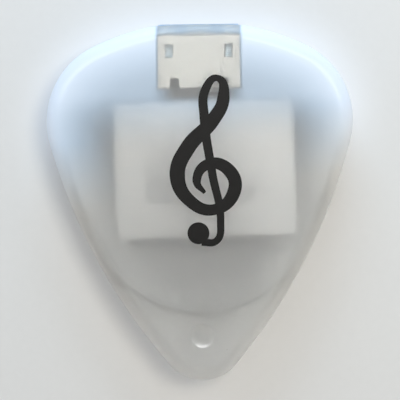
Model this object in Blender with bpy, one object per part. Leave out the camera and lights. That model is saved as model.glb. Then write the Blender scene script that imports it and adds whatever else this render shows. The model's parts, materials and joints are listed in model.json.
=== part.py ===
"""Flip-open guitar pick holder: a pick-shaped case of two milky plastic shells.

The rear shell has a stick-on pad for a guitar or an amplifier, and a foam insert inside that keeps the
picks from rattling. The front shell swings up on a steel pin at the broad end, which the clips of two
white leaves hold. A lip and a snap peg at the tip keep the case shut.

Frame: seen from the front, +X is right and +Y runs towards the hinge. +Z comes out of the front face.
The origin is under the middle of the case, on the plane that the release liner rests on.
All sizes are in metres.
"""

import math

import bmesh
import bpy
from mathutils import Matrix, Vector

# Outline of the case, seen from the front
CASE_WIDTH = 0.0426
CASE_LENGTH = 0.0498
TIP_RADIUS = 0.0060
SIDE_RADIUS = 0.0800
SHOULDER_RADIUS = 0.0115
TOP_RADIUS = 0.0340

# Outline of the pick pocket
POCKET_RIM = 0.00285
POCKET_TIP_DEPTH = 0.0100
POCKET_TIP_RADIUS = 0.0145
FLOOR_FILLET = 0.0003
CEILING_FILLET = 0.0016

# Rear shell
REAR_HEIGHT = 0.0038
REAR_FLOOR = 0.0011
REAR_EDGE_RADIUS = 0.0018
LIP_WALL = 0.0007
LIP_HEIGHT = 0.0007
LIP_CHAMFER = 0.0002

# Front shell
FRONT_HEIGHT = 0.0044
FRONT_WALL = 0.0010
FRONT_EDGE_RADIUS = 0.0023
FRONT_CROWN = 0.0002
CROWN_PEAK_Y = 0.0030
DIMPLE_RADIUS = 0.00165
DIMPLE_DEPTH = 0.00035

# Snap at the tip
PEG_FROM_TIP = 0.0063
PEG_RADIUS = 0.0012
PEG_HEIGHT = 0.0014
PEG_CHAMFER = 0.0003

# Hinge: a leaf on each shell, whose clips snap onto one steel pin
HINGE_WIDTH = 0.01135
END_CLIP = 0.00225
MIDDLE_CLIP = 0.0030
CLIP_RADIUS = 0.0010
CLIP_MOUTH = 0.0002
CLIP_ARM = 0.0012
PIN_RADIUS = 0.0006
PIN_CHAMFER = 0.00012
LEAF_LENGTH = 0.0093
LEAF_THICKNESS = 0.0009
LEAF_WALL_FROM_TOP = 0.0022

# Windows and foot notches that locate a leaf on the stubs of its shell
WINDOW_WIDTH = 0.0011
WINDOW_LENGTH = 0.0019
WINDOW_SPACING = 0.0082
WINDOW_FROM_TOP = 0.00425
FOOT_NOTCH_WIDTH = 0.0012
FOOT_NOTCH_LENGTH = 0.0013
FOOT_NOTCH_SPACING = 0.0068

# Foam insert in the pocket, from just below the hinge leaf to where the case narrows
FOAM_WIDTH = 0.0254
FOAM_FROM_LEAF = 0.001645
FOAM_FROM_TIP = 0.019805
FOAM_THICKNESS = 0.0020
FOAM_CORNER_RADIUS = 0.0008
FOAM_ASIDE = 0.00065
FOAM_TURN = math.radians(1.0)

# Stick-on pad and the paper over its sticky back
PAD_WIDTH = 0.0178
PAD_LENGTH = 0.0127
PAD_THICKNESS = 0.0010
PAD_CORNER_RADIUS = 0.0006
PAD_CENTRE = (0.0008, 0.0058)
PAD_TURN = math.radians(0.6)
LINER_THICKNESS = 0.0002
LINER_OVERHANG = 0.0004

# Clearances
PARTING_GAP = 0.0001
LIP_CLEARANCE = 0.00015
PEG_CLEARANCE = 0.00012
HINGE_CLEARANCE = 0.00015
PIN_CLEARANCE = 0.00007
FLAT_CLEARANCE = 0.00005
SEAT_GAP = 0.00005

# How finely curves are cut, and how far a hidden cutter or stub reaches past a face
ARC_STEPS = (8, 8, 10, 6)
EDGE_STEPS = 5
CROWN_SHARES = (0.8, 0.55, 0.3)
ROUND_STEPS = 20
CORNER_STEPS = 4
REACH = 0.0004
SMOOTH_ANGLE = math.radians(35)

# Heights, from the surface the holder lies on
PAD_FOOT = LINER_THICKNESS + SEAT_GAP
REAR_BACK = PAD_FOOT + PAD_THICKNESS + SEAT_GAP
FLOOR = REAR_BACK + REAR_FLOOR
REAR_LAND = REAR_BACK + REAR_HEIGHT
FRONT_LAND = REAR_LAND + PARTING_GAP
FACE_EDGE = FRONT_LAND + FRONT_HEIGHT
CEILING = FACE_EDGE - FRONT_WALL
PEG_TOP = REAR_LAND + PEG_HEIGHT

# Places along the case
CASE_TOP = CASE_LENGTH / 2
CASE_TIP = -CASE_LENGTH / 2
PEG_Y = CASE_TIP + PEG_FROM_TIP
AXIS_Y = CASE_TOP - PIN_RADIUS
AXIS_Z = (REAR_LAND + FRONT_LAND) / 2
FLAT_Y = AXIS_Y - FLAT_CLEARANCE
LEAF_FOOT = CASE_TOP - LEAF_LENGTH
WALL_OUTER = CASE_TOP - LEAF_WALL_FROM_TOP
CHANNEL_HALF = HINGE_WIDTH / 2 + HINGE_CLEARANCE
SLOT_HALF = CLIP_ARM + HINGE_CLEARANCE
WINDOW_Y = CASE_TOP - WINDOW_FROM_TOP
FOAM_TOP = LEAF_FOOT - FOAM_FROM_LEAF
FOAM_FOOT = CASE_TIP + FOAM_FROM_TIP


def pick_arcs(width, top, foot, tip_radius, side_radius, shoulder_radius, top_radius):
    """The right half of a pick outline as tangent arcs, tip first: (centre, radius, start, end)."""
    tip = Vector((0.0, foot + tip_radius))
    crest = Vector((0.0, top - top_radius))
    shoulder_x = width / 2 - shoulder_radius
    shoulder_rise = math.sqrt((top_radius - shoulder_radius) ** 2 - shoulder_x**2)
    shoulder = crest + Vector((shoulder_x, shoulder_rise))
    # The side arc holds both the tip circle and the shoulder circle inside it
    span = shoulder - tip
    tip_reach = side_radius - tip_radius
    shoulder_reach = side_radius - shoulder_radius
    along = (tip_reach**2 - shoulder_reach**2 + span.length_squared) / (2 * span.length)
    across = math.sqrt(tip_reach**2 - along**2)
    direction = span.normalized()
    side = tip + along * direction + across * Vector((-direction.y, direction.x))
    joins = [heading(tip - side), heading(shoulder - side), heading(shoulder - crest)]
    turns = [-math.pi / 2, *joins, math.pi / 2]
    circles = [(tip, tip_radius), (side, side_radius), (shoulder, shoulder_radius), (crest, top_radius)]
    return [(*circle, *ends) for circle, ends in zip(circles, zip(turns, turns[1:]))]


def heading(vector):
    """Angle of a flat vector from +X."""
    return math.atan2(vector.y, vector.x)


def outline(arcs, grow=0.0):
    """Points round a pick outline from its tip, moved outwards by grow."""
    right = []
    for (centre, radius, start, end), steps in zip(arcs, ARC_STEPS):
        for k in range(steps):
            angle = start + (end - start) * k / steps
            right.append(centre + (radius + grow) * Vector((math.cos(angle), math.sin(angle))))
    centre, radius, _, _ = arcs[-1]
    crest = centre + Vector((0.0, radius + grow))
    left = [Vector((-point.x, point.y)) for point in reversed(right[1:])]
    return right + [crest] + left


def at_height(points, z):
    """Flat points as a ring at one height."""
    return [Vector((point.x, point.y, z)) for point in points]


def circle_z(x, y, z, radius):
    """A level ring."""
    turns = [2 * math.pi * k / ROUND_STEPS for k in range(ROUND_STEPS)]
    return [Vector((x + radius * math.cos(a), y + radius * math.sin(a), z)) for a in turns]


def circle_x(x, radius):
    """An upright ring round the hinge axis."""
    turns = [2 * math.pi * k / ROUND_STEPS for k in range(ROUND_STEPS)]
    return [Vector((x, AXIS_Y + radius * math.cos(a), AXIS_Z + radius * math.sin(a))) for a in turns]


def block(x, y, z):
    """The two rings of a box, from its (low, high) on each axis."""
    corners = [(x[0], y[0]), (x[1], y[0]), (x[1], y[1]), (x[0], y[1])]
    return [[Vector((*corner, level)) for corner in corners] for level in z]


def pair(spacing, width, y, z):
    """Two boxes, one each side of the middle."""
    centres = (-spacing / 2, spacing / 2)
    return [block((x - width / 2, x + width / 2), y, z) for x in centres]


def solid(name, *lofts):
    """An object of one or more closed bodies, each lofted through rings of equal count and capped flat."""
    shape = bmesh.new()
    for rings in lofts:
        loops = [[shape.verts.new(point) for point in ring] for ring in rings]
        for lower, upper in zip(loops, loops[1:]):
            for k in range(len(lower)):
                shape.faces.new((lower[k - 1], lower[k], upper[k], upper[k - 1]))
        shape.faces.new(loops[0])
        shape.faces.new(loops[-1])
    bmesh.ops.recalc_face_normals(shape, faces=shape.faces)
    mesh = bpy.data.meshes.new(name)
    shape.to_mesh(mesh)
    shape.free()
    mesh.shade_smooth()
    mesh.set_sharp_from_angle(angle=SMOOTH_ANGLE)
    piece = bpy.data.objects.new(name, mesh)
    bpy.context.scene.collection.objects.link(piece)
    return piece


def combine(piece, operation, name, *lofts):
    """Joins hidden shapes to a piece, or cuts them out of it."""
    tool = solid(f"{piece.name}_{name}", *lofts)
    tool.hide_render = True
    tool.display_type = "WIRE"
    tool.parent = piece
    modifier = piece.modifiers.new(name, "BOOLEAN")
    modifier.operation = operation
    modifier.solver = "EXACT"
    modifier.object = tool


def finish(piece, colour, roughness, metallic=0.0, transmission=0.0):
    """Gives a piece its own material."""
    material = bpy.data.materials.new(piece.name)
    material.use_nodes = True
    shader = material.node_tree.nodes["Principled BSDF"]
    shader.inputs["Base Color"].default_value = (*colour, 1.0)
    shader.inputs["Roughness"].default_value = roughness
    shader.inputs["Metallic"].default_value = metallic
    shader.inputs["Transmission Weight"].default_value = transmission
    piece.data.materials.append(material)
    return piece


def rounded_edge(arcs, radius, start_z, side):
    """Rings up (side 1) or down (side -1) a rounded outer edge, from the upright wall to the face."""
    rings = []
    for k in range(EDGE_STEPS + 1):
        turn = math.pi / 2 * k / EDGE_STEPS
        inset = radius * (1 - math.cos(turn))
        rings.append(at_height(outline(arcs, -inset), start_z + side * radius * math.sin(turn)))
    return rings


def hinge_flat(z):
    """What is cut off a shell's broad end, so that the two shells swing past each other at the pin."""
    return block((-CASE_WIDTH / 2, CASE_WIDTH / 2), (FLAT_Y, CASE_TOP + REACH), z)


def leaf_channel(z):
    """The channel for a leaf, from the foot of its plate to its end wall."""
    return block((-CHANNEL_HALF, CHANNEL_HALF), (LEAF_FOOT, WALL_OUTER + HINGE_CLEARANCE), z)


def hinge_slot(z):
    """The slot in the rim that the clips reach through."""
    return block((-CHANNEL_HALF, CHANNEL_HALF), (WALL_OUTER, CASE_TOP + REACH), z)


def leaf_stubs(seat_z, inward):
    """Moulded stubs on a shell that fill its leaf's windows and foot notches, from the seat inwards."""
    z = sorted((seat_z - inward * REACH, seat_z + inward * (SEAT_GAP + LEAF_THICKNESS)))
    window_half = WINDOW_LENGTH / 2 - HINGE_CLEARANCE
    window_y = (WINDOW_Y - window_half, WINDOW_Y + window_half)
    foot_y = (LEAF_FOOT, LEAF_FOOT + FOOT_NOTCH_LENGTH - HINGE_CLEARANCE)
    windows = pair(WINDOW_SPACING, WINDOW_WIDTH - 2 * HINGE_CLEARANCE, window_y, z)
    feet = pair(FOOT_NOTCH_SPACING, FOOT_NOTCH_WIDTH - 2 * HINGE_CLEARANCE, foot_y, z)
    return windows + feet


def front_shell(case, pocket):
    """The lid: a crowned face with a rounded edge, hollow underneath."""
    well = LIP_WALL + LIP_CLEARANCE
    rings = []
    for k in range(EDGE_STEPS + 1):
        turn = math.pi / 2 * k / EDGE_STEPS
        inset = CEILING_FILLET * (1 - math.sin(turn))
        drop = CEILING_FILLET * (1 - math.cos(turn))
        rings.append(at_height(outline(pocket, well - inset), CEILING - drop))
    rings.append(at_height(outline(pocket, well), FRONT_LAND))
    rings.append(at_height(outline(case), FRONT_LAND))
    rings += rounded_edge(case, FRONT_EDGE_RADIUS, FACE_EDGE - FRONT_EDGE_RADIUS, 1)
    peak = Vector((0.0, CROWN_PEAK_Y))
    for share in CROWN_SHARES:
        points = [peak.lerp(point, share) for point in outline(case, -FRONT_EDGE_RADIUS)]
        rings.append(at_height(points, crown_height(share)))
    shell = solid("front_shell", rings)
    above = FACE_EDGE + FRONT_CROWN + REACH
    combine(shell, "DIFFERENCE", "hinge_flat", hinge_flat((FRONT_LAND - REACH, above)))
    combine(shell, "DIFFERENCE", "leaf_channel", leaf_channel((FRONT_LAND - REACH, CEILING)))
    combine(shell, "DIFFERENCE", "hinge_slot", hinge_slot((FRONT_LAND - REACH, AXIS_Z + SLOT_HALF)))
    socket_radius = PEG_RADIUS + PEG_CLEARANCE
    socket_z = (FRONT_LAND - REACH, PEG_TOP + PEG_CLEARANCE)
    combine(shell, "DIFFERENCE", "peg_socket", [circle_z(0.0, PEG_Y, z, socket_radius) for z in socket_z])
    combine(shell, "DIFFERENCE", "thumb_dimple", dimple())
    combine(shell, "UNION", "leaf_stubs", *leaf_stubs(CEILING, -1))
    return finish(shell, (0.84, 0.88, 0.90), 0.35, transmission=0.6)


def crown_height(share):
    """Height of the crowned face at a share of the way from its peak to its edge."""
    return FACE_EDGE + FRONT_CROWN * (1 - share**2)


def dimple():
    """A shallow ball-shaped hollow in the face, over the snap peg."""
    face_tip = CASE_TIP + FRONT_EDGE_RADIUS
    face_z = crown_height((CROWN_PEAK_Y - PEG_Y) / (CROWN_PEAK_Y - face_tip))
    ball_radius = (DIMPLE_RADIUS**2 + DIMPLE_DEPTH**2) / (2 * DIMPLE_DEPTH)
    widest = math.asin(DIMPLE_RADIUS / ball_radius)
    rings = []
    for k in range(1, EDGE_STEPS + 1):
        turn = widest * k / EDGE_STEPS
        z = face_z - DIMPLE_DEPTH + ball_radius * (1 - math.cos(turn))
        rings.append(circle_z(0.0, PEG_Y, z, ball_radius * math.sin(turn)))
    rings.append(circle_z(0.0, PEG_Y, face_z + REACH, DIMPLE_RADIUS + REACH))
    return rings


def rear_shell(case, pocket):
    """The base: a flat back with a rounded edge, and a shallow tray with a lip round the picks."""
    rings = rounded_edge(case, REAR_EDGE_RADIUS, REAR_BACK + REAR_EDGE_RADIUS, -1)[::-1]
    lip_top = REAR_LAND + LIP_HEIGHT
    rings.append(at_height(outline(case), REAR_LAND))
    rings.append(at_height(outline(pocket, LIP_WALL), REAR_LAND))
    rings.append(at_height(outline(pocket, LIP_WALL), lip_top - LIP_CHAMFER))
    rings.append(at_height(outline(pocket, LIP_WALL - LIP_CHAMFER), lip_top))
    rings.append(at_height(outline(pocket), lip_top))
    rings.append(at_height(outline(pocket), FLOOR + FLOOR_FILLET))
    rings.append(at_height(outline(pocket, -FLOOR_FILLET), FLOOR))
    shell = solid("rear_shell", rings)
    combine(shell, "DIFFERENCE", "hinge_flat", hinge_flat((REAR_BACK - REACH, lip_top + REACH)))
    combine(shell, "DIFFERENCE", "leaf_channel", leaf_channel((FLOOR, lip_top + REACH)))
    combine(shell, "DIFFERENCE", "hinge_slot", hinge_slot((AXIS_Z - SLOT_HALF, lip_top + REACH)))
    peg = [
        circle_z(0.0, PEG_Y, REAR_LAND - REACH, PEG_RADIUS),
        circle_z(0.0, PEG_Y, PEG_TOP - PEG_CHAMFER, PEG_RADIUS),
        circle_z(0.0, PEG_Y, PEG_TOP, PEG_RADIUS - PEG_CHAMFER),
    ]
    combine(shell, "UNION", "snap_peg", peg)
    combine(shell, "UNION", "leaf_stubs", *leaf_stubs(FLOOR, 1))
    return finish(shell, (0.80, 0.84, 0.86), 0.40, transmission=0.6)


def clip(x, side):
    """A hinge clip, still whole: a barrel on an arm that grows out of its leaf's end wall."""
    arm = [Vector((WALL_OUTER - AXIS_Y, height)) for height in (CLIP_ARM, AXIS_Z - REAR_LAND)]
    lean = [math.acos(CLIP_RADIUS / point.length) for point in arm]
    start = heading(arm[0]) - lean[0]
    end = heading(arm[1]) + lean[1] - 2 * math.pi
    root = [point - Vector((REACH, 0.0)) for point in reversed(arm)]
    profile = [arm[1], *root, arm[0]]
    for k in range(ROUND_STEPS + 1):
        turn = start + (end - start) * k / ROUND_STEPS
        profile.append(CLIP_RADIUS * Vector((math.cos(turn), math.sin(turn))))
    return [[Vector((level, AXIS_Y + p.x, AXIS_Z + side * p.y)) for p in profile] for level in x]


def hinge_leaf(name, seat_z, side, clips):
    """A white moulded leaf: a plate on its shell, an end wall and clips that hold the pin from inside."""
    plate_back = seat_z - side * SEAT_GAP
    plate_front = plate_back - side * LEAF_THICKNESS
    wall_end = AXIS_Z + side * (AXIS_Z - REAR_LAND)
    wall_inner = WALL_OUTER - LEAF_THICKNESS
    profile = [
        (LEAF_FOOT, plate_back),
        (WALL_OUTER, plate_back),
        (WALL_OUTER, wall_end),
        (wall_inner, wall_end),
        (wall_inner, plate_front),
        (LEAF_FOOT, plate_front),
    ]
    ends = (-HINGE_WIDTH / 2, HINGE_WIDTH / 2)
    leaf = solid(name, [[Vector((x, *point)) for point in profile] for x in ends])
    combine(leaf, "UNION", "clips", *[clip(x, side) for x in clips])
    through = sorted((plate_back + side * REACH, plate_front - side * REACH))
    window_y = (WINDOW_Y - WINDOW_LENGTH / 2, WINDOW_Y + WINDOW_LENGTH / 2)
    foot_y = (LEAF_FOOT - REACH, LEAF_FOOT + FOOT_NOTCH_LENGTH)
    windows = pair(WINDOW_SPACING, WINDOW_WIDTH, window_y, through)
    feet = pair(FOOT_NOTCH_SPACING, FOOT_NOTCH_WIDTH, foot_y, through)
    combine(leaf, "DIFFERENCE", "windows", *windows, *feet)
    beyond = (ends[0] - REACH, ends[1] + REACH)
    bore = [circle_x(x, PIN_RADIUS + PIN_CLEARANCE) for x in beyond]
    combine(leaf, "DIFFERENCE", "pin_bore", bore)
    mouth_y = (AXIS_Y + CLIP_MOUTH, AXIS_Y + CLIP_RADIUS + REACH)
    mouth_z = (AXIS_Z - CLIP_RADIUS - REACH, AXIS_Z + CLIP_RADIUS + REACH)
    combine(leaf, "DIFFERENCE", "clip_mouth", block(beyond, mouth_y, mouth_z))
    return finish(leaf, (0.82, 0.82, 0.79), 0.45)


def hinge_pin():
    """The steel pin that the clips of both leaves hold."""
    end = HINGE_WIDTH / 2
    stations = [(-end, PIN_CHAMFER), (PIN_CHAMFER - end, 0.0), (end - PIN_CHAMFER, 0.0), (end, PIN_CHAMFER)]
    pin = solid("hinge_pin", [circle_x(x, PIN_RADIUS - taper) for x, taper in stations])
    return finish(pin, (0.62, 0.64, 0.66), 0.25, metallic=1.0)


def sheet_ring(width, length, radius, place):
    """A round-cornered rectangle, set down and turned by place."""
    half = Vector((width / 2 - radius, length / 2 - radius, 0.0))
    ring = []
    for quarter, (x, y) in enumerate(((1, 1), (-1, 1), (-1, -1), (1, -1))):
        for k in range(CORNER_STEPS + 1):
            turn = math.pi / 2 * (quarter + k / CORNER_STEPS)
            offset = radius * Vector((math.cos(turn), math.sin(turn), 0.0))
            ring.append(place @ (Vector((x * half.x, y * half.y, 0.0)) + offset))
    return ring


def pocket_foam():
    """The foam insert on the floor of the pocket."""
    middle = (FOAM_TOP + FOAM_FOOT) / 2
    rings = []
    for z in (FLOOR + SEAT_GAP, FLOOR + SEAT_GAP + FOAM_THICKNESS):
        place = Matrix.Translation((FOAM_ASIDE, middle, z)) @ Matrix.Rotation(FOAM_TURN, 4, "Z")
        rings.append(sheet_ring(FOAM_WIDTH, FOAM_TOP - FOAM_FOOT, FOAM_CORNER_RADIUS, place))
    return finish(solid("pocket_foam", rings), (0.86, 0.86, 0.84), 0.90)


def pad_ring(overhang, z):
    """The outline of the stick-on pad at one height, or of what reaches past it all round."""
    place = Matrix.Translation((*PAD_CENTRE, z)) @ Matrix.Rotation(PAD_TURN, 4, "Z")
    radius = PAD_CORNER_RADIUS + overhang
    return sheet_ring(PAD_WIDTH + 2 * overhang, PAD_LENGTH + 2 * overhang, radius, place)


def foam_pad():
    """The stick-on pad on the flat back."""
    pad = solid("foam_pad", [pad_ring(0.0, z) for z in (PAD_FOOT, PAD_FOOT + PAD_THICKNESS)])
    return finish(pad, (0.55, 0.55, 0.54), 0.90)


def release_liner():
    """The peel-off paper under the pad."""
    liner = solid("release_liner", [pad_ring(LINER_OVERHANG, z) for z in (0.0, LINER_THICKNESS)])
    return finish(liner, (0.87, 0.86, 0.82), 0.70)


def main():
    for old in list(bpy.data.objects):
        bpy.data.objects.remove(old)
    case = pick_arcs(
        CASE_WIDTH, CASE_TOP, CASE_TIP, TIP_RADIUS, SIDE_RADIUS, SHOULDER_RADIUS, TOP_RADIUS
    )
    pocket = pick_arcs(
        CASE_WIDTH - 2 * POCKET_RIM,
        CASE_TOP - POCKET_RIM,
        CASE_TIP + POCKET_TIP_DEPTH,
        POCKET_TIP_RADIUS,
        SIDE_RADIUS - POCKET_RIM,
        SHOULDER_RADIUS - POCKET_RIM,
        TOP_RADIUS - POCKET_RIM,
    )
    half = HINGE_WIDTH / 2
    lid_clips = [(-half, END_CLIP - half), (half - END_CLIP, half)]
    base_clips = [(-MIDDLE_CLIP / 2, MIDDLE_CLIP / 2)]
    pivot = bpy.data.objects.new("lid_pivot", None)
    pivot.location = (0.0, AXIS_Y, AXIS_Z)
    bpy.context.scene.collection.objects.link(pivot)
    lid = [
        front_shell(case, pocket),
        hinge_leaf("front_hinge_leaf", CEILING, 1, lid_clips),
    ]
    for piece in lid:
        piece.parent = pivot
        piece.matrix_parent_inverse = Matrix.Translation(-pivot.location)
    rear_shell(case, pocket)
    hinge_leaf("rear_hinge_leaf", FLOOR, -1, base_clips)
    hinge_pin()
    pocket_foam()
    foam_pad()
    release_liner()


main()
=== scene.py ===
# %% [markdown]
# # A milky, flip-open pick holder
#
# The holder is a small case in the shape of a guitar pick. Two milky plastic shells swing on a steel pin
# at the broad end. White foam inside keeps the picks from rattling, and a pad on the back sticks the case
# to a guitar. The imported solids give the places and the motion. This script gives the looks: softer
# edges, real finishes and the print.

# %% Load the frame
import json
import math

import bmesh
import bpy
from mathutils import Matrix, Vector
from mathutils.kdtree import KDTree


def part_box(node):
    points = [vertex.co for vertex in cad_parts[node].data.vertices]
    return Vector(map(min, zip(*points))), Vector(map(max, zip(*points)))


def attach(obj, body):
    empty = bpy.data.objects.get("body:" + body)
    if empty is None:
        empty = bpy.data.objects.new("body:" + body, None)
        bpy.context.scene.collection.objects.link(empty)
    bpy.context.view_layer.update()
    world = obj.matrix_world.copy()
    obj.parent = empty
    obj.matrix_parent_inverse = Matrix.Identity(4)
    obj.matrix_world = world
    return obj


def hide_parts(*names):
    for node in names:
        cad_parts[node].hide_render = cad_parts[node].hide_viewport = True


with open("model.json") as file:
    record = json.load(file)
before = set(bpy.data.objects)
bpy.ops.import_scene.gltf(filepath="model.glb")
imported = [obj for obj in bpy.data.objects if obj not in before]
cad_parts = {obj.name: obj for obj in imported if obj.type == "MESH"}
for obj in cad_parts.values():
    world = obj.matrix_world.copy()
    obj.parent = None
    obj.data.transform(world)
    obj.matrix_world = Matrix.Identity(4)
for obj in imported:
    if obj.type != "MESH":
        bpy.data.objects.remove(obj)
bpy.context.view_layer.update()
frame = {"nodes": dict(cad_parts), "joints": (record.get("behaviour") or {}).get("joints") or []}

# %% [markdown]
# ## Sizes from the frame
#
# A look that is built by eye drifts away from the solid that it dresses. So every place that the frame
# can tell is read from it, and only the radii and walls that a box can't tell are written here.

# %% Read the places of the shells
front_low, front_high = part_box("front_shell")
rear_low, rear_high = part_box("rear_shell")
front_leaf_low, front_leaf_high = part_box("front_hinge_leaf")
rear_leaf_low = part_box("rear_hinge_leaf")[0]
hinge = Vector(frame["joints"][0]["pos_m"])

SEAT_GAP = 0.00005
HINGE_CLEARANCE = 0.00015
PARTING_GAP = 0.0001

case_width = front_high.x - front_low.x
case_tip = front_low.y
case_top = -case_tip
front_land = front_low.z
rear_land = front_land - PARTING_GAP
rear_back = rear_low.z
peg_top = rear_high.z
ceiling = front_leaf_high.z + SEAT_GAP
floor_level = rear_leaf_low.z - SEAT_GAP
leaf_foot = front_leaf_low.y
channel_half = front_leaf_high.x + HINGE_CLEARANCE
print(f"case {case_width * 1000:.1f} mm wide, pocket {(ceiling - floor_level) * 1000:.1f} mm deep")

# %% [markdown]
# ## The camera
#
# The photograph looks straight down at the case, which lies a little turned on a sheet of paper. A long
# lens keeps the sides of the case out of sight. The distance follows from how many pixels wide the case
# is, so the scale in the picture is worked out and not tried.

# %% Look straight down
PHOTO_PIXELS = 400
CASE_PIXELS = 302
CASE_CENTRE_PIXEL = (200.8, 200.6)
CASE_TURN = math.radians(0.8)
LENS = 100.0
SENSOR = 36.0
NEAREST = 0.01


def add(name, data):
    """Puts data into the scene as a new object."""
    made = bpy.data.objects.new(name, data)
    bpy.context.scene.collection.objects.link(made)
    return made


pixel = case_width / CASE_PIXELS
camera_data = bpy.data.cameras.new("camera")
camera_data.lens = LENS
camera_data.sensor_width = SENSOR
camera_data.clip_start = NEAREST
camera = add("camera", camera_data)
middle = PHOTO_PIXELS / 2
aside = Vector((middle - CASE_CENTRE_PIXEL[0], CASE_CENTRE_PIXEL[1] - middle, 0.0)) * pixel
aside.rotate(Matrix.Rotation(-CASE_TURN, 3, "Z"))
height = PHOTO_PIXELS * pixel * LENS / SENSOR
camera.location = aside + Vector((0.0, 0.0, front_land + height))
camera.rotation_euler = (0.0, 0.0, -CASE_TURN)
bpy.context.scene.camera = camera
bpy.context.scene.view_settings.view_transform = "Standard"
print(f"camera {height * 1000:.0f} mm above the case, {pixel * 1e6:.0f} micrometres to a pixel")

# %% [markdown]
# ## Writing shaders as sums
#
# A shader tree is a chain of small sums. Making each node by hand hides the sum, so a socket is wrapped
# in a class whose operators add the Math nodes, and one method makes every other kind of node.


# %% A wire that can do sums
class Wire:
    """A socket of a node tree. Sums on it add Math nodes, and node() adds any other node."""

    def __init__(self, tree, socket=None):
        self.tree = tree
        self.socket = socket

    def node(self, kind, settings=None, inputs=None, output=0):
        made = self.tree.nodes.new(kind)
        for name, value in (settings or {}).items():
            setattr(made, name, value)
        for name, value in (inputs or {}).items():
            if isinstance(value, Wire):
                self.tree.links.new(value.socket, made.inputs[name])
            else:
                made.inputs[name].default_value = value
        return Wire(self.tree, made.outputs[output] if len(made.outputs) else None)

    def math(self, operation, first, second):
        return self.node("ShaderNodeMath", {"operation": operation}, {0: first, 1: second})

    def __add__(self, other):
        return self.math("ADD", self, other)

    def __radd__(self, other):
        return self.math("ADD", other, self)

    def __sub__(self, other):
        return self.math("SUBTRACT", self, other)

    def __rsub__(self, other):
        return self.math("SUBTRACT", other, self)

    def __mul__(self, other):
        return self.math("MULTIPLY", self, other)

    def __rmul__(self, other):
        return self.math("MULTIPLY", other, self)

    def __pow__(self, other):
        return self.math("POWER", self, other)

    def __abs__(self):
        return self.node("ShaderNodeMath", {"operation": "ABSOLUTE"}, {0: self})


# %% Blends, steps and places
def mix(factor, first, second):
    """A blend of two colours."""
    source = next(w for w in (factor, first, second) if isinstance(w, Wire))
    return source.node("ShaderNodeMix", {"data_type": "RGBA"}, {0: factor, 6: first, 7: second}, 2)


def step(value, low, high):
    """0 below low, 1 above high and a soft edge between."""
    limits = {"Value": value, "From Min": low, "From Max": high}
    return value.node("ShaderNodeMapRange", {"interpolation_type": "SMOOTHSTEP"}, limits)


def slope(value, low, high):
    """0 below low, 1 above high and a straight line between."""
    return value.node("ShaderNodeMapRange", inputs={"Value": value, "From Min": low, "From Max": high})


def axis(place, name):
    """One coordinate of a place."""
    return place.node("ShaderNodeSeparateXYZ", inputs={"Vector": place}, output=name)


def object_place(start):
    """Where a point lies, in metres from the origin that the pieces share."""
    return start.node("ShaderNodeTexCoord", output="Object")


def near_rim(start):
    """How near the rim of the case a point is, which the meshes carry on their points."""
    return start.node("ShaderNodeAttribute", {"attribute_name": "rim"}, output="Fac")


# %% Colours, textures and materials
def colour(red, green, blue):
    """A colour that isn't see-through."""
    return (red, green, blue, 1.0)


def principled(start, look):
    """Blender's all-round surface, with the given look."""
    return start.node("ShaderNodeBsdfPrincipled", inputs=look)


def material(name, surface):
    """A material whose surface is what the given function wires up."""
    made = bpy.data.materials.new(name)
    made.use_nodes = True
    made.node_tree.nodes.clear()
    start = Wire(made.node_tree)
    start.node("ShaderNodeOutputMaterial", inputs={"Surface": surface(start)})
    print("material", name, "has", len(made.node_tree.nodes), "nodes")
    return made


def noise(place, scale, detail):
    """Cloudy values from 0 to 1, with scale clouds to the metre."""
    return place.node("ShaderNodeTexNoise", inputs={"Vector": place, "Scale": scale, "Detail": detail})


def bump(height, strength, distance):
    """Small dents in a surface."""
    sizes = {"Height": height, "Strength": strength, "Distance": distance}
    return height.node("ShaderNodeBump", inputs=sizes)


# %% [markdown]
# ## Paper and daylight
#
# The case lies on white paper. A warm lamp to the right lights the paper and gives the narrow shadow at
# the left side. A photographer keeps such a lamp out of the shine with a polarising filter. Here it is
# hidden from shiny and clear surfaces instead. What they see is the long window above the picture, which
# lights the inside through the plastic and draws a smile in the thumb dimple. A low, blue sky beside it
# tints what stands up, and the room round them is dim and even.
#
# Milky plastic also gathers daylight and throws it on the paper round its broad end, and a little into
# its shadow. Tracing that light would need caustic paths and many samples, so the paper is simply paler
# there, by how near the rim of the case a point is. Only the points of a mesh can carry such a value, so
# the sheet has a patch of fine cells under the case.

# %% Paper under the case
PAPER_SIZE = 2.0
PAPER_DROP = 0.00002
PATCH_SIZE = 0.12
PATCH_CELLS = 80
PAPER_GREYS = (colour(0.62, 0.62, 0.615), colour(0.67, 0.67, 0.665))
GLOW = colour(0.81, 0.82, 0.84)
GLOW_IN_SHADOW = 0.2
MORE_GLOW_AT_LEFT = 0.25


def paper(start):
    """White paper with fibres, paler where the plastic throws daylight on it."""
    place = object_place(start)
    fibres = noise(place, scale=900.0, detail=6.0)
    mottle = noise(place, scale=60.0, detail=3.0)
    plain = mix(fibres * 0.5 + mottle * 0.5, *PAPER_GREYS)
    rim = near_rim(start)
    broad_end = slope(axis(place, "Y"), low=0.001, high=0.014)
    in_shadow = GLOW_IN_SHADOW + MORE_GLOW_AT_LEFT * slope(axis(place, "X"), low=0.004, high=-0.008)
    gathered = rim**2 * broad_end + rim * (1 - broad_end) * in_shadow
    look = {
        "Base Color": mix(gathered, plain, GLOW),
        "Roughness": 0.9,
        "Normal": bump(fibres, strength=0.08, distance=0.0001),
    }
    return principled(start, look)


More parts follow.
